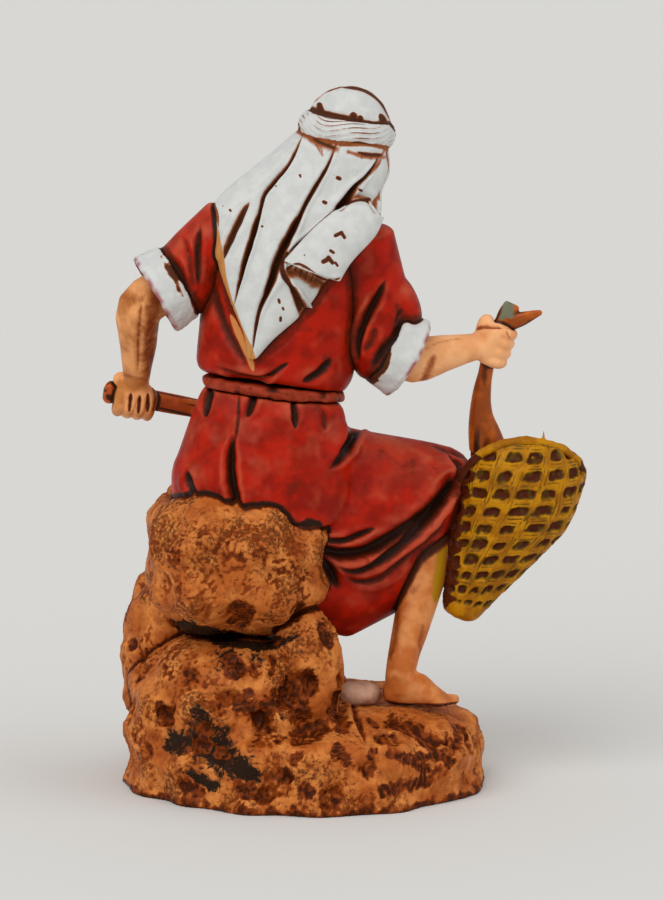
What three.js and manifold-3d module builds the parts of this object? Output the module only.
// Seated fisherman for a nativity scene: a painted figurine on a rock, 10 cm series.
// Millimetres, +Z up. The figure turns its back to -Y, and +X is on the viewer's right there.
// The origin is the middle of the rock's flat underside.
import * as THREE from "three";
import { mergeVertices } from "three/addons/utils/BufferGeometryUtils.js";
import Module from "manifold-3d";

const wasm = await Module();
wasm.setup();

// Clearances
const seam = 0.3; // between two pieces that are glued or laid on each other

// Rock, each block with its full width, depth and height
const plinthSize = { width: 43.8, depth: 42.4, height: 10.6 };
const plinthAside = 1; // its middle, to the right of the origin
const massSize = { width: 27.6, depth: 29.2, height: 19.4 }; // left mass of the lower rock
const massPlace = [-8.2, -2];
const seatSize = { width: 22.6, depth: 27.2, height: 18.4 };
const crack = 1; // between the lower rock and the seat boulder
const rearSize = { width: 16, depth: 18, height: 23 };
const rearPlace = [-15, 6.5, 14.5];
const shoulderSize = { width: 9.2, depth: 10, height: 18 }; // ridge of the left mass beside the hem
const shoulderPlace = [0.4, -9.5, 15.5];
const stoneSize = { width: 5.6, depth: 4.4, height: 3 };
const stonePlace = [7, -3];
const stoneSink = 0.4; // into the plinth
const hewn = {
  plinth: [0.5, 9], // how far its face stands in and out, and from lump to lump
  mass: [0.6, 8],
  seat: [0.6, 8],
  rear: [0.5, 7],
  stone: [0.2, 4],
};
const blockSquare = [2, 4];
const hollowDeep = 0.9;
// Hollows struck into the lower rock: each has its turn round the block, its height above the ground
// and its half width.
const plinthHollows = [
  [-1.02, 9.2, 2],
  [-0.57, 7.6, 1.7],
  [-0.84, 4.6, 2.2],
  [-1.22, 5.8, 1.8],
  [-1.45, 2.8, 1.8],
  [-1.8, 4.2, 2],
  [-0.2, 5, 2.1],
  [0.25, 7.5, 1.9],
  [0.7, 4.5, 2.2],
  [1.15, 7.2, 2],
  [1.6, 5, 2.2],
  [2.1, 7.4, 1.9],
  [2.6, 4.6, 2.1],
];
const massHollows = [
  [-1.34, 17.2, 1.9],
  [-0.97, 14.4, 2],
  [-0.6, 12.2, 1.8],
  [-1.68, 13.4, 2.1],
  [-2.12, 16, 1.8],
  [-2.3, 11, 1.9],
  [-1.8, 8, 2.3],
  [-1.32, 9.6, 2],
  [-2.5, 5.4, 1.9],
  [-0.2, 16, 1.8],
];
const seatTop = vec(massPlace[0], massPlace[1], massSize.height + crack + seatSize.height);

// Body, each joint from the one before it
const pelvisOffset = [3.2, -1.2, -0.6]; // from the middle of the seat's top
const waistOffset = [1.3, 0.5, 12.3];
const chestOffset = [1.2, 1, 13.4];
const neckOffset = [4.4, 1.6, 10.2];
const headOffset = [3.1, 2.2, 5.2];
const pelvis = step(seatTop, ...pelvisOffset);
const waist = step(pelvis, ...waistOffset);
const chest = step(waist, ...chestOffset);
const neck = step(chest, ...neckOffset);
const headCentre = step(neck, ...headOffset);
const beltHeight = 1.5;
const beltProud = 0.2;
const beltUp = vec(0.12, 0.06, 1).normalize();
const torsoHalf = { waist: [8.6, 6.3], blouse: [9.9, 7.3], chest: [10.3, 6.6], shoulder: [9.4, 5.4] };
const neckRadius = 2.5;
const hipsSpread = 1.2; // gown's widening just below the belt
const hipsHalf = { upper: [11.1, 8.6], seat: [11.5, 9], under: [10.6, 8.6] };
const hipsUnder = [0.6, 0.3, -4.6]; // its lowest section, from the pelvis
const foldDepth = 0.35; // gown's folds, in and out
// Deep folds of the gown: each runs over one of its forms, through places given by the share of the
// form's length and the turn round it.
const foldRadius = 0.75;
const foldEnd = 0.25; // its radius where it runs out
const hipFolds = [
  [[0.14, 0.14], [0.33, 0.22], [0.38, 0.46], [0.43, 0.74]],
  [[0.35, 2.09], [0.47, 1.99], [0.69, 1.88], [0.83, 1.83]],
  [[0.49, 2.62], [0.67, 2.41], [0.76, 2.3]],
  [[0.1, -1.1], [0.25, -1.05]],
  [[0.1, -1.8], [0.28, -1.85]],
];
const sideFolds = [
  [[0.06, 1.52], [0.22, 1.5], [0.41, 1.41]],
  [[0.11, 1.78], [0.23, 1.68], [0.37, 1.62], [0.54, 1.57], [0.7, 1.52]],
  [[0.05, 1.94], [0.14, 1.94], [0.21, 2.04]],
  [[0.37, 1.88], [0.59, 1.94], [0.74, 1.88], [0.88, 1.7]],
  [[0.54, -2.57], [0.4, -2.3], [0.24, -2.04]],
];
const thighFolds = [
  [[0.16, -0.7], [0.3, -0.6], [0.5, -0.85]],
  [[0.2, -1.1], [0.45, -1.35], [0.7, -1.5]],
];
const frontFolds = [
  [[0.83, -1.36], [0.48, -1.66], [0.1, -1.5]],
  [[0.89, -2.05], [0.54, -2.2], [0.2, -2.1]],
];

// Head and head cloth
const headUp = vec(0.2, 0.1, 0.97).normalize();
const headFacing = turnTo(vec(0.45, 0.88, -0.2), headUp);
const headSide = headFacing.clone().cross(headUp);
const skullHalf = [4.9, 5.9, 6.7]; // across, front to back, up
const noseHalf = [0.75, 1.1, 1.3];
const nosePlace = { out: 5.8, up: -0.9 }; // from the skull's middle
const beardHalf = [3.3, 2.9, 4];
const beardPlace = { out: 3.1, up: -5.2 };
const bandRadius = [4.75, 5.6]; // middle of the band, across and front to back
const bandHalf = [1.35, 1.75]; // half its thickness and half its height
const bandRise = 3; // band's middle above the skull's
const crownHalf = [5.25, 5.9, 5.1];
const veilThick = 3;
const flapThick = 1.8;
// Rows of the head cloth down the back, as offsets from the chest: each has its left and right end in
// x and z, and how far its middle and its ends stand out in y.
const veilRows = [
  { left: [2.3, 18.9], right: [13.1, 16.9], middle: -2.5, edge: 3.2 },
  { left: [-1.9, 15.4], right: [13.4, 13.5], middle: -3.7, edge: 2.2 },
  { left: [-7.5, 11], right: [12.4, 11.1], middle: -4.9, edge: 0.5 },
  { left: [-8.6, 9.1], right: [12.1, 7.9], middle: -6.3, edge: -1.3 },
  { left: [-8.4, 4.9], right: [9.6, 4.3], middle: -7.9, edge: -3.3 },
  { left: [-7.75, 1.8], right: [5.9, 1], middle: -8.6, edge: -4.8 },
  { left: [-6.1, -2.5], right: [2.75, -2.9], middle: -9.1, edge: -6.7 },
  { left: [-4.75, -5.7], right: [-1, -6.1], middle: -9.3, edge: -7.9 },
  { left: [-4.4, -8.6], right: [-3.2, -8.5], middle: -9.3, edge: -8.7 },
];
// Rows of its end folded over on the right, the same way.
const flapRows = [
  { left: [10.9, 11.3], right: [12.6, 8.5], middle: -4.8, edge: -2.7 },
  { left: [7.75, 10.7], right: [11.5, 6.4], middle: -7.7, edge: -5.7 },
  { left: [4, 7.9], right: [8.6, 3.5], middle: -9.7, edge: -7.9 },
  { left: [0.4, 4.8], right: [5.1, 1.6], middle: -10.7, edge: -9.5 },
];

// Arms
const shoulderLeftOffset = [-6.3, 0.3, 6.6]; // from the chest, and the rest each from the one before
const sleeveLeftOffset = [-7.6, -1.2, -7.1];
const elbowLeftOffset = [-3.8, -0.6, -2.7];
const wristLeftOffset = [-0.7, 7, -10.3];
const shoulderRightOffset = [9.6, -0.2, 5.4];
const sleeveRightOffset = [4.1, 0.4, -14.1];
const elbowRightOffset = [2.6, 0.6, -0.9];
const wristRightOffset = [8.05, 4.6, 0.9];
const shoulderLeft = step(chest, ...shoulderLeftOffset);
const sleeveEndLeft = step(shoulderLeft, ...sleeveLeftOffset);
const openingLeft = vec(-0.86, -0.12, -0.5).normalize();
const elbowLeft = step(sleeveEndLeft, ...elbowLeftOffset);
const wristLeft = step(elbowLeft, ...wristLeftOffset);
const shoulderRight = step(chest, ...shoulderRightOffset);
const sleeveEndRight = step(shoulderRight, ...sleeveRightOffset);
const openingRight = vec(0.82, 0.12, -0.5).normalize();
const elbowRight = step(sleeveEndRight, ...elbowRightOffset);
const wristRight = step(elbowRight, ...wristRightOffset);
const sleeveRadius = [4.3, 4.75];
const sleeveSag = { left: 0, right: 1.5 };
const cuffLength = 2.2;
const cuffWall = 0.9;
const cuffFlare = 0.3;
const forearmRadius = [2.8, 2.9, 2.25, 1.9];
const fistHalf = [2.4, 2.1, 2.4];
const fistReach = 2.9; // wrist to the middle of the fist
const fingerRadius = 0.72;

// What the hands hold
const stickRadius = 1.25;
const stickKnob = 1.42;
const stickLength = 24;
const stickDirection = vec(0.975, 0.06, -0.2).normalize();
const stickPast = 3.6; // knob end beyond the fist's middle
const fishRadius = [1.1, 1.2, 1.45, 2.2, 2.9, 2.5];
const fishAway = 0.4; // its head further from the viewer than its tail
const fishLength = 17.5; // below the fist
const fishShare = [0.05, 0.2, 0.38, 0.58, 0.8, 1]; // its sections' places, tail to head
const fishBend = [-0.7, -1.5, -2.1, -1.9, -1, 0.2]; // its curve at those places
const fishFlat = 0.75; // thickness over height
const finLength = 4.9;
const finWide = [1.1, 1.2]; // half width, at its root and where it is widest
const finRise = 2; // its root above the fist's middle
const finThick = 0.65;

// Basket
const basketTall = 23.8;
const basketLean = vec(0.33, 0.1, 0.94).normalize();
const basketHalf = [2.5, 4.5, 6.6, 7.6, 7.5, 6.1];
const basketShare = [0.03, 0.24, 0.5, 0.66, 0.84, 0.95]; // its sections' places, foot to mouth
const basketSwing = [-0.7, -0.35, 0.6, 1.2, 1.1, 0.9]; // its belly's curve at those places
const basketFlat = 0.72; // front to back over width
const mouthRise = 18.6; // middle of the mouth along the basket
const mouthFacing = vec(-0.1, 0.88, 0.46).normalize();
const rimWidth = 1.5;
const rimProud = 0.35;
const rimWall = 1.1;
const mouthDepth = 2.2;

// Legs
const hipRightOffset = [3.4, 1, 2];
const kneeRightOffset = [19.8, 9.4, -2.8];
const hipLeftOffset = [-3, 1, 1.4];
const kneeLeftOffset = [1.6, 19, -0.6];
const hipRight = step(pelvis, ...hipRightOffset);
const kneeRight = step(hipRight, ...kneeRightOffset);
const hipLeft = step(pelvis, ...hipLeftOffset);
const kneeLeft = step(hipLeft, ...kneeLeftOffset);
const ankleHeight = 4.8; // above the plinth
const ankleRightOffset = [-5.9, -11.2]; // from the knee, in plan
const ankleLeftOffset = [2.2, -3.4];
const ankleAt = (knee, [x, y]) => vec(knee.x + x, knee.y + y, plinthSize.height + ankleHeight);
const ankleRight = ankleAt(kneeRight, ankleRightOffset);
const ankleLeft = ankleAt(kneeLeft, ankleLeftOffset);
const thighRadius = [6.6, 5.5, 4.5, 3.9]; // hip to knee
const shinRadius = [3.2, 3.1, 2.65, 1.9]; // knee to ankle
const footLength = 8.9;
const heelPlace = { up: 1.4, back: 1.1 }; // its middle above the sole and behind the ankle
const footShare = [0, 0.3, 0.62, 0.85]; // its sections' places: heel, instep, ball and toes
const footHalf = [1.9, 1.9, 2.4, 2.1]; // half widths there
const footRise = [1.9, 2.3, 1.5, 0.95]; // half heights
const footArch = [0, 0.5, -0.1, -0.4]; // middles above the heel's
const footFacingRight = vec(0.97, -0.22, 0).normalize();
const footFacingLeft = vec(0.3, 0.95, 0).normalize();
const drapeHalf = [10.8, 12.8, 10.2, 6.9, 4.2]; // half heights of the gown's right side, hip to knee
const drapeThick = [6.2, 6.2, 5.6, 4.9, 4];
const drapeOut = [0.9, 1, 1.6, 2.5, 2.5]; // how far it stands out beside the thigh
const drapeShare = [0.16, 0.33, 0.58, 0.84, 1];
const apronHalf = [7, 6.4, 5.6]; // half heights of the gown's front, left knee to right knee
const apronThick = [4.2, 3.2, 3.4];
const lapHalf = { hips: [7, 5], knees: [8, 3.6] };
const lapEnd = [-1.5, -4, -2.4]; // its far end, from between the knees
const apronDrop = { y: -1, z: 3 }; // its top, from the line between the knees
const rounding = {
  fold: [0.3, 0.3],
  hips: [0, 1],
  thigh: [2, 2.9],
  lap: [2, 3],
  drape: [2, 2.4],
  apron: [3.4, 1.5],
  sleeve: [1.4, 0],
  hand: [0, 0.8],
  finger: [0.5, 0.6],
  ankle: [0, 0.8],
  foot: [1.3, 1.1],
  stick: [0.5, 0.5],
  fish: [0.5, 1.6],
  fin: [0.4, 0.4],
  basket: [1.2, 1.6],
};
const basketOffset = [2.1, -6.4, -16.4]; // its foot, from the right knee
const basketFoot = step(kneeRight, ...basketOffset);

// Fineness of the meshes
const fine = { body: 22, limb: 12, small: 6, rock: 5, blob: 3, hollow: 2 };

// Colours and finishes of the paint
const paint = {
  red: { color: 0xb02a1a, roughness: 0.45, metalness: 0 },
  beltRed: { color: 0x8e2413, roughness: 0.5, metalness: 0 },
  white: { color: 0xdfe2e2, roughness: 0.6, metalness: 0 },
  skin: { color: 0xd9985f, roughness: 0.5, metalness: 0 },
  ochre: { color: 0xb5831a, roughness: 0.5, metalness: 0 },
  fishBrown: { color: 0x9a4f1c, roughness: 0.35, metalness: 0 },
  woodBrown: { color: 0x9c5526, roughness: 0.5, metalness: 0 },
  rock: { color: 0xb9733f, roughness: 0.6, metalness: 0 },
  stone: { color: 0x93705f, roughness: 0.6, metalness: 0 },
};

function vec(x, y, z) {
  return new THREE.Vector3(x, y, z);
}

function step(from, x, y, z) {
  return from.clone().add(vec(x, y, z));
}

function along(from, direction, distance) {
  return from.clone().addScaledVector(direction, distance);
}

function between(a, b, share) {
  return a.clone().lerp(b, share);
}

// The part of a direction that is square to an axis, at unit length.
function turnTo(direction, axis) {
  return direction.clone().addScaledVector(axis, -direction.dot(axis)).normalize();
}

function solidOf(geometry) {
  const vertProperties = new Float32Array(geometry.attributes.position.array);
  const triVerts = new Uint32Array(geometry.index.array);
  return new wasm.Manifold(new wasm.Mesh({ numProp: 3, vertProperties, triVerts }));
}

function geometryOf(solid) {
  const mesh = solid.getMesh();
  const geometry = new THREE.BufferGeometry();
  geometry.setAttribute("position", new THREE.BufferAttribute(mesh.vertProperties, mesh.numProp));
  geometry.setIndex(new THREE.BufferAttribute(mesh.triVerts, 1));
  return geometry;
}

function join(solids) {
  return solids.reduce((sum, solid) => sum.add(solid));
}

// A cut can part a thin sliver from a piece: the piece is its largest body.
function largestBody(solid) {
  const bodies = solid.decompose();
  return bodies.reduce((most, body) => (body.volume() > most.volume() ? body : most));
}

// Where the surface of a closed body through oval sections lies, at a share of its length and a turn.
function onLoft({ sections, across }, [share, turn]) {
  const path = new THREE.CatmullRomCurve3(sections.map((section) => section.at));
  const halves = new THREE.CatmullRomCurve3(
    sections.map((section) => vec(section.half[0], section.half[1], 0)),
  );
  const tangent = path.getTangent(share);
  const half = halves.getPoint(share);
  const u = turnTo(across, tangent);
  const v = tangent.clone().cross(u);
  return along(along(path.getPoint(share), u, half.x * Math.cos(turn)), v, half.y * Math.sin(turn));
}

// What a body's deep folds take out of it.
function foldsOn(body, folds) {
  return folds.map((marks) =>
    loft({
      sections: marks.map((mark, i) => {
        const radius = i === 0 || i === marks.length - 1 ? foldEnd : foldRadius;
        return { at: onLoft(body, mark), half: [radius, radius] };
      }),
      across: vec(0.3, 0.2, 1),
      sides: fine.small,
      steps: marks.length * 2,
      round: rounding.fold,
    }),
  );
}

// A closed body through oval sections. Each section has its centre, its half width along `across`
// and its half depth square to that. Rounded ends bulge by the given lengths.
function loft({ sections, across, sides = fine.limb, steps, round = [0, 0], folds, grow = 0 }) {
  const path = new THREE.CatmullRomCurve3(sections.map((section) => section.at));
  const halves = new THREE.CatmullRomCurve3(
    sections.map((section) => vec(section.half[0], section.half[1], 0)),
  );
  const rings = [];
  const count = steps ?? (sections.length - 1) * 2;
  const addRing = (share, shift, scale) => {
    const tangent = path.getTangent(share);
    const half = halves.getPoint(share);
    const centre = along(path.getPoint(share), tangent, shift);
    const u = turnTo(across, tangent);
    const v = tangent.clone().cross(u);
    const ring = [];
    for (let side = 0; side < sides; side++) {
      const angle = (side / sides) * Math.PI * 2;
      const fold = folds ? folds(angle, share) : 0;
      const wide = (half.x + grow + fold) * scale;
      const deep = (half.y + grow + fold) * scale;
      ring.push(
        along(along(centre, u, wide * Math.cos(angle)), v, deep * Math.sin(angle)),
      );
    }
    rings.push(ring);
    return centre;
  };
  const capSteps = sides > fine.small ? 3 : 2;
  const first = round[0] + grow;
  const last = round[1] + grow;
  const start = along(path.getPoint(0), path.getTangent(0), -first);
  const end = along(path.getPoint(1), path.getTangent(1), last);
  if (round[0] > 0) {
    for (let i = 1; i < capSteps; i++) {
      const angle = (i / capSteps) * (Math.PI / 2);
      addRing(0, -first * Math.cos(angle), Math.sin(angle));
    }
  } else if (grow > 0) {
    addRing(0, -first, 1);
  }
  for (let i = 0; i <= count; i++) addRing(i / count, 0, 1);
  if (round[1] > 0) {
    for (let i = capSteps - 1; i > 0; i--) {
      const angle = (i / capSteps) * (Math.PI / 2);
      addRing(1, last * Math.cos(angle), Math.sin(angle));
    }
  } else if (grow > 0) {
    addRing(1, last, 1);
  }
  return solidOf(skin(rings, start, end));
}

// The closed surface over a row of rings, with a point at each end.
function skin(rings, start, end) {
  const sides = rings[0].length;
  const points = [start, ...rings.flat(), end];
  const last = points.length - 1;
  const index = [];
  const at = (ring, side) => 1 + ring * sides + (side % sides);
  for (let side = 0; side < sides; side++) {
    index.push(0, at(0, side + 1), at(0, side));
    for (let ring = 0; ring + 1 < rings.length; ring++) {
      index.push(at(ring, side), at(ring, side + 1), at(ring + 1, side + 1));
      index.push(at(ring, side), at(ring + 1, side + 1), at(ring + 1, side));
    }
    index.push(last, at(rings.length - 1, side), at(rings.length - 1, side + 1));
  }
  return new THREE.BufferGeometry().setFromPoints(points).setIndex(index);
}

// A closed ring of oval section round a centre: its plane's normal is `up`.
function hoop({ centre, across, up, radius, half, sides = 30, sectionSides = 8, grow = 0 }) {
  const forward = up.clone().cross(across).normalize();
  const index = [];
  const points = [];
  for (let i = 0; i < sides; i++) {
    const turn = (i / sides) * Math.PI * 2;
    const out = across.clone().multiplyScalar(Math.cos(turn));
    out.addScaledVector(forward, Math.sin(turn));
    const middle = centre.clone().addScaledVector(across, radius[0] * Math.cos(turn));
    middle.addScaledVector(forward, radius[1] * Math.sin(turn));
    for (let j = 0; j < sectionSides; j++) {
      const angle = (j / sectionSides) * Math.PI * 2;
      const point = along(middle, out, (half[0] + grow) * Math.cos(angle));
      points.push(along(point, up, (half[1] + grow) * Math.sin(angle)));
      const a = i * sectionSides + j;
      const b = i * sectionSides + ((j + 1) % sectionSides);
      const next = ((i + 1) % sides) * sectionSides;
      const c = next + ((j + 1) % sectionSides);
      const d = next + j;
      index.push(a, c, b, a, d, c);
    }
  }
  return solidOf(new THREE.BufferGeometry().setFromPoints(points).setIndex(index));
}

// A rounded block. Squareness is given in plan and upright: 2 is round, and more is boxier.
// Lumps stand in and out of it.
function lump({ centre, half, squareness = [2, 2], detail = fine.blob, lumps, axes, grow = 0 }) {
  const [plan, upright] = squareness;
  const ball = new THREE.IcosahedronGeometry(1, detail);
  ball.deleteAttribute("normal");
  ball.deleteAttribute("uv");
  const geometry = mergeVertices(ball);
  const position = geometry.attributes.position;
  const turn = new THREE.Matrix4();
  if (axes) turn.makeBasis(...axes);
  for (let i = 0; i < position.count; i++) {
    const point = new THREE.Vector3().fromBufferAttribute(position, i);
    const flat = (Math.abs(point.x) ** plan + Math.abs(point.y) ** plan) ** (1 / plan);
    const size = (flat ** upright + Math.abs(point.z) ** upright) ** (1 / upright);
    const out = point.clone();
    point.divideScalar(size).multiply(half).addScaledVector(out, grow);
    point.applyMatrix4(turn);
    if (lumps) point.addScaledVector(out, lumps(point.clone().add(centre)));
    point.add(centre);
    position.setXYZ(i, point.x, point.y, point.z);
  }
  return solidOf(geometry);
}

// Hewn rock: broad facets and smaller pits, in and out by about the given height.
function rockFace(height, spacing) {
  const pitch = (Math.PI * 2) / spacing;
  return (point) => {
    const a = Math.sin(point.x * pitch + 1.7 * Math.sin(point.z * pitch * 0.6));
    const b = Math.sin(point.y * pitch * 0.9 + 1.4 * Math.sin(point.x * pitch * 0.7) + 1);
    const c = Math.sin(point.z * pitch * 1.2 + 1.6 * Math.sin(point.y * pitch * 0.5) + 2);
    return (height * (a + b + c)) / 2;
  };
}

// Everything on the far side of a plane, as a block much larger than the figurine.
function beyond(point, normal) {
  const reach = 200;
  const block = new THREE.BoxGeometry(reach, reach, reach);
  block.deleteAttribute("normal");
  block.deleteAttribute("uv");
  const merged = mergeVertices(block);
  const turn = new THREE.Quaternion().setFromUnitVectors(vec(0, 0, 1), normal);
  merged.applyQuaternion(turn);
  const middle = along(point, normal, reach / 2);
  merged.translate(middle.x, middle.y, middle.z);
  return solidOf(merged);
}

// A curved sheet: each row has a left and a right end and the depth of its middle and of its ends.
function sheet({ from, rows, columns, thick, rowSteps, grow = 0 }) {
  const curve = (pick) => new THREE.CatmullRomCurve3(rows.map(pick), false, "catmullrom", 0.5);
  const left = curve((row) => step(from, row.left[0] - grow, row.edge - grow, row.left[1]));
  const right = curve((row) => step(from, row.right[0] + grow, row.edge - grow, row.right[1]));
  const middle = curve((row) => step(from, 0, row.middle - grow, 0));
  const count = (rows.length - 1) * rowSteps;
  const front = [];
  for (let i = 0; i <= count; i++) {
    const share = i / count;
    const start = left.getPoint(share);
    const end = right.getPoint(share);
    const crest = middle.getPoint(share).y;
    for (let j = 0; j <= columns; j++) {
      const u = j / columns;
      const point = between(start, end, u);
      const bulge = Math.sqrt(Math.max(0, 1 - (2 * u - 1) ** 2));
      point.y += (crest - point.y) * bulge;
      front.push(point);
    }
  }
  const back = front.map((point) => step(point, 0, thick + 2 * grow, 0));
  const index = [];
  const wide = columns + 1;
  const tall = count + 1;
  const behind = front.length;
  const quad = (a, b, c, d) => index.push(a, b, c, a, c, d);
  for (let i = 0; i < count; i++) {
    for (let j = 0; j < columns; j++) {
      const a = i * wide + j;
      quad(a, a + wide, a + wide + 1, a + 1);
      quad(behind + a, behind + a + 1, behind + a + wide + 1, behind + a + wide);
    }
    const l = i * wide;
    quad(l, behind + l, behind + l + wide, l + wide);
    const r = l + columns;
    quad(r, r + wide, behind + r + wide, behind + r);
  }
  for (let j = 0; j < columns; j++) {
    quad(j, j + 1, behind + j + 1, behind + j);
    const b = (tall - 1) * wide + j;
    quad(b, behind + b, behind + b + 1, b + 1);
  }
  return solidOf(new THREE.BufferGeometry().setFromPoints([...front, ...back]).setIndex(index));
}

// Shapes of the pieces before their neighbours are taken out of them.

function torso(grow = 0) {
  const blouse = between(waist, chest, 0.22);
  const top = between(chest, neck, 0.52);
  return loft({
    sections: [
      { at: along(waist, vec(0, 0, 1), beltHeight / 2 + seam), half: torsoHalf.waist },
      { at: blouse, half: torsoHalf.blouse },
      { at: between(waist, chest, 0.6), half: [torsoHalf.blouse[0], torsoHalf.blouse[1] * 0.97] },
      { at: chest, half: torsoHalf.chest },
      { at: top, half: torsoHalf.shoulder },
      { at: between(chest, neck, 0.85), half: [neckRadius * 2.2, neckRadius * 1.6] },
      { at: neck, half: [neckRadius * 1.3, neckRadius * 1.2] },
    ],
    across: vec(1, 0, 0),
    sides: fine.body,
    steps: 12,
    grow,
    folds: (angle, share) => foldDepth * Math.sin(angle * 7 + share * 5) * (1 - share),
  });
}

function beltBand(grow = 0) {
  const half = torsoHalf.waist.map((size) => size + beltProud);
  return loft({
    sections: [
      { at: along(waist, beltUp, -beltHeight / 2), half },
      { at: along(waist, beltUp, beltHeight / 2), half },
    ],
    across: vec(1, 0, 0),
    sides: fine.body,
    steps: 1,
    grow,
  });
}

function skirtShape(grow = 0) {
  const spread = torsoHalf.waist.map((size) => size + hipsSpread);
  const hips = {
    sections: [
      { at: along(waist, vec(0, 0, -1), beltHeight / 2 + seam), half: torsoHalf.waist },
      { at: between(waist, pelvis, 0.35), half: spread },
      { at: between(waist, pelvis, 0.8), half: hipsHalf.upper },
      { at: pelvis, half: hipsHalf.seat },
      { at: step(pelvis, ...hipsUnder), half: hipsHalf.under },
    ],
    across: vec(1, 0, 0),
    sides: fine.body,
    steps: 8,
    round: rounding.hips,
    grow,
  };
  const thighRight = thigh(hipRight, kneeRight, grow);
  const thighLeft = thigh(hipLeft, kneeLeft, grow);
  const lap = loft({
    sections: [
      { at: between(hipLeft, hipRight, 0.5), half: lapHalf.hips },
      { at: step(between(kneeLeft, kneeRight, 0.42), ...lapEnd), half: lapHalf.knees },
    ],
    across: vec(1, 0, 0),
    round: rounding.lap,
    steps: 4,
    grow,
  });
  // The gown's right side hangs from the thigh: deep at the hip, and up to the knee along its hem.
  const drapeTop = thighRadius[1] - 0.6;
  const drape = {
    sections: drapeShare.map((share, i) => ({
      at: step(between(hipRight, kneeRight, share), 0, -drapeOut[i], drapeTop - share - drapeHalf[i]),
      half: [drapeHalf[i], drapeThick[i]],
    })),
    across: vec(0, 0, 1),
    sides: fine.limb + 4,
    steps: 8,
    round: rounding.drape,
    grow,
  };
  // The front of the gown hangs from knee to knee.
  const apronPlaces = [0, 0.5, 1];
  const apron = {
    sections: apronPlaces.map((share, i) => ({
      at: step(between(kneeLeft, kneeRight, share), 0, apronDrop.y, apronDrop.z - apronHalf[i]),
      half: [apronHalf[i], apronThick[i]],
    })),
    across: vec(0, 0, 1),
    sides: fine.limb + 2,
    steps: 8,
    round: rounding.apron,
    grow,
  };
  const gown = join([...[hips, thighRight, thighLeft, drape, apron].map(loft), lap]);
  if (grow > 0) return gown;
  return [
    ...foldsOn(hips, hipFolds),
    ...foldsOn(drape, sideFolds),
    ...foldsOn(thighRight, thighFolds),
    ...foldsOn(apron, frontFolds),
  ].reduce((rest, fold) => rest.subtract(fold), gown);
}

function thigh(hip, knee, grow) {
  const [top, upper, lower, end] = thighRadius;
  return {
    sections: [
      { at: hip, half: [top, top] },
      { at: between(hip, knee, 0.4), half: [upper, upper] },
      { at: between(hip, knee, 0.8), half: [lower, lower] },
      { at: knee, half: [end, end] },
    ],
    across: vec(0, 0, 1),
    round: rounding.thigh,
    grow,
  };
}

// A gown sleeve from the shoulder to its open end.
function sleeve(shoulder, end, opening, sag, grow = 0) {
  const [top, low] = sleeveRadius;
  const half = between(shoulder, end, 0.5).add(vec(0, 0, -sag));
  return loft({
    sections: [
      { at: shoulder, half: [top, top] },
      { at: half, half: [top, top] },
      { at: along(end, opening, -low * 0.5), half: [low, low] },
      { at: end, half: [low, low] },
    ],
    across: vec(0, 1, 0.2),
    sides: fine.limb + 2,
    round: rounding.sleeve,
    steps: 8,
    grow,
  });
}

// A turned-back cuff: an open ring past the sleeve's end, its hollow left for the arm.
function cuff(end, opening, grow = 0) {
  const radius = sleeveRadius[1] + cuffFlare;
  const start = along(end, opening, seam);
  const finish = along(start, opening, cuffLength);
  const ring = (near, far, from, to, extra) =>
    loft({
      sections: [
        { at: near, half: [from, from] },
        { at: far, half: [to, to] },
      ],
      across: vec(0, 1, 0.2),
      sides: fine.limb + 6,
      steps: 1,
      grow: extra,
    });
  const outer = ring(start, finish, radius, radius + cuffFlare, grow);
  if (grow > 0) return outer;
  const past = along(finish, opening, cuffWall);
  const hollow = radius - cuffWall;
  return outer.subtract(ring(along(start, opening, -cuffWall), past, hollow, hollow, 0));
}

// Bare arm from inside the cuff, round the elbow, to a closed fist. The grip is the axis of what
// the hand holds.
function arm(end, opening, elbow, wrist, fist, gripAxis, gripRadius, grow = 0) {
  const root = along(end, opening, seam);
  const [rootEnd, bend, lower, wristEnd] = forearmRadius;
  const bare = loft({
    sections: [
      { at: root, half: [rootEnd, rootEnd] },
      { at: elbow, half: [bend, bend] },
      { at: between(elbow, wrist, 0.55), half: [lower, lower] },
      { at: wrist, half: [wristEnd, wristEnd] },
      { at: between(wrist, fist, 0.5), half: [wristEnd * 1.05, wristEnd * 1.05] },
    ],
    across: vec(0.1, 1, 0.3),
    round: rounding.hand,
    steps: 8,
    grow,
  });
  const palm = lump({
    centre: fist,
    half: vec(...fistHalf),
    squareness: [2.6, 2.6],
    detail: fine.blob - 1,
    grow,
  });
  const reach = fist.clone().sub(wrist).normalize();
  const out = turnTo(reach, gripAxis);
  const side = gripAxis.clone().cross(out).normalize();
  const fingers = [];
  const fingerCount = 4;
  for (let i = 0; i < fingerCount; i++) {
    const centre = along(fist, gripAxis, (i - (fingerCount - 1) / 2) * fingerRadius * 1.75);
    const radius = gripRadius + seam + fingerRadius * 0.9;
    const knuckle = (angle) =>
      along(along(centre, out, radius * Math.cos(angle)), side, radius * Math.sin(angle));
    const bends = [-1.2, -0.3, 0.7, 1.7, 2.6];
    fingers.push(
      loft({
        sections: bends.map((angle) => ({ at: knuckle(angle), half: [fingerRadius, fingerRadius] })),
        across: gripAxis,
        sides: fine.small,
        steps: 4,
        round: rounding.finger,
        grow,
      }),
    );
  }
  return join([bare, palm, ...fingers]);
}

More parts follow.
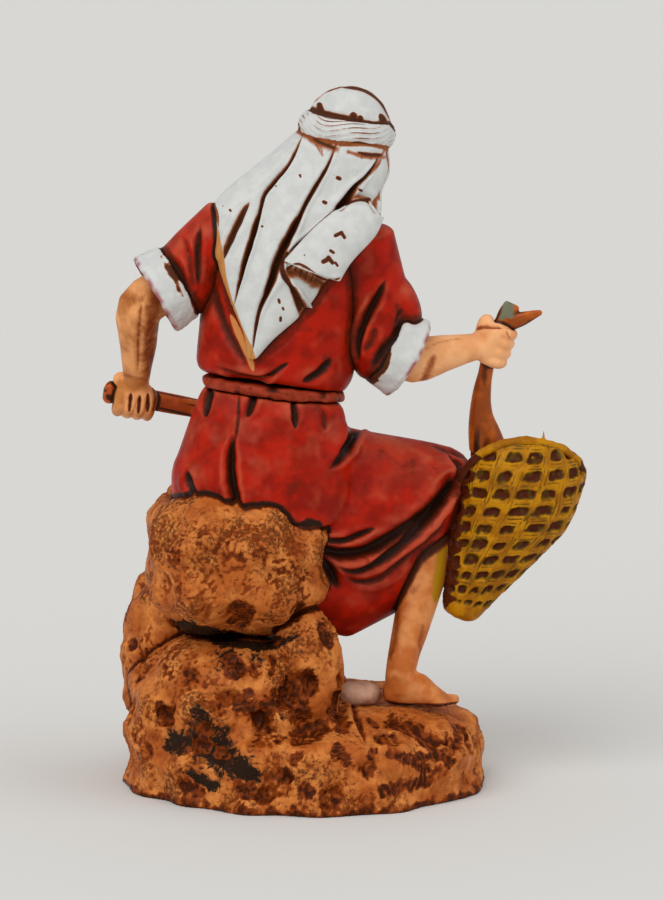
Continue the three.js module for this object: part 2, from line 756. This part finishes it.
function shin(knee, ankle, facing, sole, grow = 0) {
  const [top, calf, lower, end] = shinRadius;
  const leg = loft({
    sections: [
      { at: between(knee, ankle, 0.05), half: [top, top] },
      { at: between(knee, ankle, 0.35), half: [calf, calf] },
      { at: between(knee, ankle, 0.72), half: [lower, lower] },
      { at: ankle, half: [end, end] },
      { at: vec(ankle.x, ankle.y, sole + end), half: [end * 1.1, end * 1.1] },
    ],
    across: vec(1, 0, 0),
    round: rounding.ankle,
    steps: 6,
    grow,
  });
  const heel = vec(ankle.x, ankle.y, sole + heelPlace.up).addScaledVector(facing, -heelPlace.back);
  const foot = loft({
    sections: footShare.map((share, i) => ({
      at: along(heel, facing, footLength * share).add(vec(0, 0, footArch[i])),
      half: [footHalf[i], footRise[i]],
    })),
    across: facing.clone().cross(vec(0, 0, 1)),
    round: rounding.foot,
    grow,
  });
  return join([leg, foot]);
}

function skull(grow = 0) {
  const axes = [headSide, headFacing, headUp];
  const cranium = lump({ centre: headCentre, half: vec(...skullHalf), axes, grow });
  const nose = lump({
    centre: along(along(headCentre, headFacing, nosePlace.out), headUp, nosePlace.up),
    half: vec(...noseHalf),
    detail: fine.blob - 1,
    axes,
    grow,
  });
  const beard = lump({
    centre: along(along(headCentre, headFacing, beardPlace.out), headUp, beardPlace.up),
    half: vec(...beardHalf),
    axes,
    grow,
  });
  const throat = loft({
    sections: [
      { at: along(neck, headUp, seam), half: [neckRadius, neckRadius] },
      { at: headCentre, half: [neckRadius, neckRadius] },
    ],
    across: vec(1, 0, 0),
    steps: 2,
    grow,
  });
  return join([cranium, nose, beard, throat]);
}

function headHoop(grow = 0) {
  return hoop({
    centre: along(headCentre, headUp, bandRise),
    across: headSide,
    up: headUp,
    radius: bandRadius,
    half: bandHalf,
    grow,
  });
}

function crownDome(grow = 0) {
  const centre = along(headCentre, headUp, bandRise);
  const dome = lump({ centre, half: vec(...crownHalf), axes: [headSide, headFacing, headUp], grow });
  return dome.subtract(beyond(along(centre, headUp, -grow), headUp.clone().negate()));
}

function basketShape(grow = 0) {
  return loft({
    sections: basketHalf.map((half, i) => ({
      at: along(basketFoot, basketLean, basketTall * basketShare[i]).add(vec(basketSwing[i], 0, 0)),
      half: [half, half * basketFlat],
    })),
    across: turnTo(vec(1, 0, 0), basketLean),
    sides: fine.body,
    steps: 9,
    round: rounding.basket,
    grow,
  });
}

// Placing: each piece is cut by the pieces before it, so that what lies against it shows a seam.

const figurine = new THREE.Group();
const placed = [];

function place(name, finish, shape, solid = shape(0)) {
  const piece = placed.reduce((rest, taken) => rest.subtract(taken), solid);
  const body = largestBody(piece);
  const mesh = new THREE.Mesh(geometryOf(body), new THREE.MeshStandardMaterial(finish));
  mesh.name = name;
  figurine.add(mesh);
  placed.push(shape(seam));
}

const fistLeft = along(wristLeft, wristLeft.clone().sub(elbowLeft).normalize(), fistReach);
const fistRight = along(wristRight, vec(0.75, 0.5, 0.1).normalize(), fistReach);
const gripRight = vec(0.37, 0.02, 0.93).normalize();

function stickShape(grow = 0) {
  const start = along(fistLeft, stickDirection, -stickPast);
  return loft({
    sections: [
      { at: start, half: [stickKnob, stickKnob] },
      { at: along(start, stickDirection, stickLength * 0.3), half: [stickRadius, stickRadius] },
      { at: along(start, stickDirection, stickLength), half: [stickRadius * 0.9, stickRadius * 0.9] },
    ],
    across: vec(0, 1, 0),
    sides: 14,
    steps: 6,
    round: rounding.stick,
    grow,
  });
}

function fishShape(grow = 0) {
  const body = loft({
    sections: [
      { at: along(fistRight, gripRight, finRise), half: [fishRadius[0], fishRadius[0] * fishFlat] },
      ...fishShare.map((part, i) => ({
        at: along(fistRight, vec(0, 0, -1), fishLength * part).add(vec(fishBend[i], fishAway * part, 0)),
        half: [fishRadius[i], fishRadius[i] * fishFlat],
      })),
    ],
    across: vec(1, 0, 0),
    sides: 12,
    steps: 9,
    round: rounding.fish,
    grow,
  });
  const root = along(fistRight, gripRight, finRise);
  const [rootWide, wide] = finWide;
  const lobe = (direction, length) =>
    loft({
      sections: [
        { at: root, half: [rootWide, finThick] },
        { at: along(root, direction, length * 0.55), half: [wide, finThick] },
        { at: along(root, direction, length), half: [wide * 0.55, finThick * 0.8] },
      ],
      across: direction.clone().cross(vec(0, 1, 0)),
      sides: 10,
      steps: 4,
      round: rounding.fin,
      grow,
    });
  const upright = lobe(vec(0.22, 0, 0.97).normalize(), finLength * 0.62);
  const pointed = lobe(vec(0.9, 0, 0.43).normalize(), finLength);
  return join([body, upright, pointed]);
}

place("fish", paint.fishBrown, fishShape);
place("stick", paint.woodBrown, stickShape);

const gripLeft = stickDirection;
place("forearm_left", paint.skin, (grow) =>
  arm(sleeveEndLeft, openingLeft, elbowLeft, wristLeft, fistLeft, gripLeft, stickRadius, grow),
);
place("forearm_right", paint.skin, (grow) =>
  arm(sleeveEndRight, openingRight, elbowRight, wristRight, fistRight, gripRight, fishRadius[0], grow),
);
place("cuff_left", paint.white, (grow) => cuff(sleeveEndLeft, openingLeft, grow));
place("cuff_right", paint.white, (grow) => cuff(sleeveEndRight, openingRight, grow));

place("head_band", paint.white, headHoop);
place("crown_cloth", paint.white, crownDome);
place("head", paint.skin, skull);
place("belt", paint.beltRed, beltBand);
place("bodice", paint.red, torso);
place("sleeve_left", paint.red, (grow) =>
  sleeve(shoulderLeft, sleeveEndLeft, openingLeft, sleeveSag.left, grow),
);
place("sleeve_right", paint.red, (grow) =>
  sleeve(shoulderRight, sleeveEndRight, openingRight, sleeveSag.right, grow),
);
place("veil", paint.white, (grow) =>
  sheet({ from: chest, rows: veilRows, columns: 12, rowSteps: 1, thick: veilThick, grow }),
);
place("veil_flap", paint.white, (grow) =>
  sheet({ from: chest, rows: flapRows, columns: 6, rowSteps: 2, thick: flapThick, grow }),
);

place("skirt", paint.red, skirtShape);
place("leg_right", paint.skin, (grow) =>
  shin(kneeRight, ankleRight, footFacingRight, plinthSize.height, grow),
);
place("leg_left", paint.skin, (grow) =>
  shin(kneeLeft, ankleLeft, footFacingLeft, plinthSize.height, grow),
);

const mouth = along(basketFoot, basketLean, mouthRise);
const backwards = mouthFacing.clone().negate();
const aboveRim = beyond(mouth, mouthFacing);
const rimBelow = along(mouth, mouthFacing, -rimWidth);
const rimRing = basketShape(rimProud)
  .subtract(aboveRim)
  .subtract(beyond(rimBelow, backwards))
  .subtract(basketShape(-rimWall));
const bodyTop = along(rimBelow, mouthFacing, -seam);
const hollow = basketShape(-rimWall).subtract(beyond(along(mouth, mouthFacing, -mouthDepth), backwards));
const basketBody = basketShape(0).subtract(beyond(bodyTop, mouthFacing)).subtract(hollow);
const basketFilled = (grow) => basketShape(grow).subtract(beyond(bodyTop, mouthFacing));
const rimFilled = (grow) => basketShape(rimProud + grow).subtract(aboveRim);
place("basket", paint.ochre, basketFilled, basketBody);
place("basket_rim", paint.ochre, rimFilled, rimRing);

const ground = beyond(vec(0, 0, 0), vec(0, 0, -1));

// A block whose middle is on the ground has its full height above it.
const onGround = ({ width, depth, height }) => vec(width / 2, depth / 2, height);
const whole = ({ width, depth, height }) => vec(width / 2, depth / 2, height / 2);

// What the struck hollows take out of a block that stands on the ground.
function hollowsOn(middle, half, lumps, hollows) {
  return hollows.map(([turn, height, wide]) => {
    const rise = height / half.z;
    const level = (1 - rise ** blockSquare[1]) ** (1 / blockSquare[1]);
    const point = vec(half.x * Math.cos(turn) * level, half.y * Math.sin(turn) * level, height);
    const out = point.clone().divide(half).normalize();
    point.add(middle);
    point.addScaledVector(out, lumps(point));
    const radius = (wide ** 2 + hollowDeep ** 2) / (2 * hollowDeep);
    const normal = vec(Math.cos(turn), Math.sin(turn), rise ** 3).normalize();
    return lump({
      centre: along(point, normal, radius - hollowDeep),
      half: vec(radius, radius, radius),
      detail: fine.hollow,
    });
  });
}

function lowerRock(grow = 0) {
  const block = (middle, half, face, detail) =>
    lump({ centre: middle, half, squareness: blockSquare, detail, lumps: rockFace(...face), grow });
  const plinthMiddle = vec(plinthAside, 0, 0);
  const massMiddle = vec(...massPlace, 0);
  const plinth = block(plinthMiddle, onGround(plinthSize), hewn.plinth, fine.rock + 2);
  const mass = block(massMiddle, onGround(massSize), hewn.mass, fine.rock + 1);
  const shoulder = lump({ centre: vec(...shoulderPlace), half: whole(shoulderSize), grow });
  const rock = join([plinth, mass, shoulder]).subtract(ground);
  if (grow > 0) return rock;
  return [
    ...hollowsOn(plinthMiddle, onGround(plinthSize), rockFace(...hewn.plinth), plinthHollows),
    ...hollowsOn(massMiddle, onGround(massSize), rockFace(...hewn.mass), massHollows),
  ].reduce((rest, hollow) => rest.subtract(hollow), rock);
}

place("small_stone", paint.stone, (grow) =>
  lump({
    centre: vec(stonePlace[0], stonePlace[1], plinthSize.height + stoneSize.height / 2 - stoneSink),
    half: whole(stoneSize),
    squareness: [2.4, 2.4],
    lumps: rockFace(...hewn.stone),
    grow,
  }),
);
place("seat_boulder", paint.rock, (grow) =>
  lump({
    centre: step(seatTop, 0, 0, -seatSize.height / 2),
    half: whole(seatSize),
    squareness: [3, 3],
    detail: fine.rock,
    lumps: rockFace(...hewn.seat),
    grow,
  }),
);
place("rock_base", paint.rock, lowerRock);
place("rear_boulder", paint.rock, (grow) =>
  lump({
    centre: vec(...rearPlace),
    half: whole(rearSize),
    squareness: [2.6, 2.6],
    detail: fine.blob + 1,
    lumps: rockFace(...hewn.rear),
    grow,
  }).subtract(ground),
);

export default figurine;
